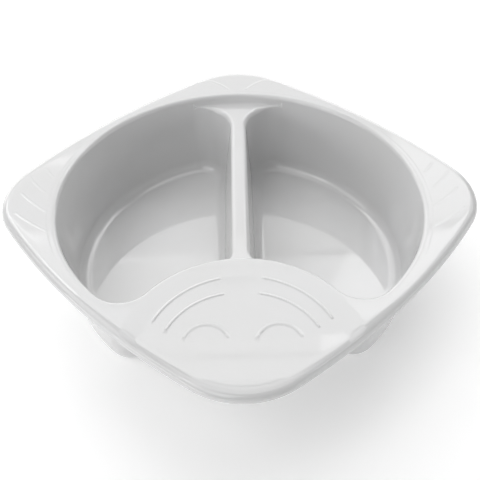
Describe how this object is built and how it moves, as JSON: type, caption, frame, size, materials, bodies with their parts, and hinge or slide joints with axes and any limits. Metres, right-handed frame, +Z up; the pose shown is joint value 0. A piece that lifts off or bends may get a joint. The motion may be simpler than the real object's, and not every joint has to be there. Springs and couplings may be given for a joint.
{
  "type": "two-compartment wash bowl",
  "caption": "Shallow diamond-rimmed plastic wash bowl with two deep side-by-side wells, a divider between them and a dished soap shelf in front.",
  "frame": {"origin": "on the table, in the middle of the bowl's diamond outline", "axes": "+Z up out of the wells; +Y to the back corner, away from the soap shelf; +X to the right-hand corner"},
  "size_m": [0.32, 0.32, 0.0698],
  "materials": {
    "white_plastic": "glossy injection-moulded white plastic, opaque, faint mould texture",
    "grey_rubber": "matt mid-grey soft rubber"
  },
  "bodies": {
    "root": {"bowl_moulding": "white_plastic", "front_left_pad": "grey_rubber", "front_right_pad": "grey_rubber", "back_left_pad": "grey_rubber", "back_right_pad": "grey_rubber"}
  },
  "joints": []
}
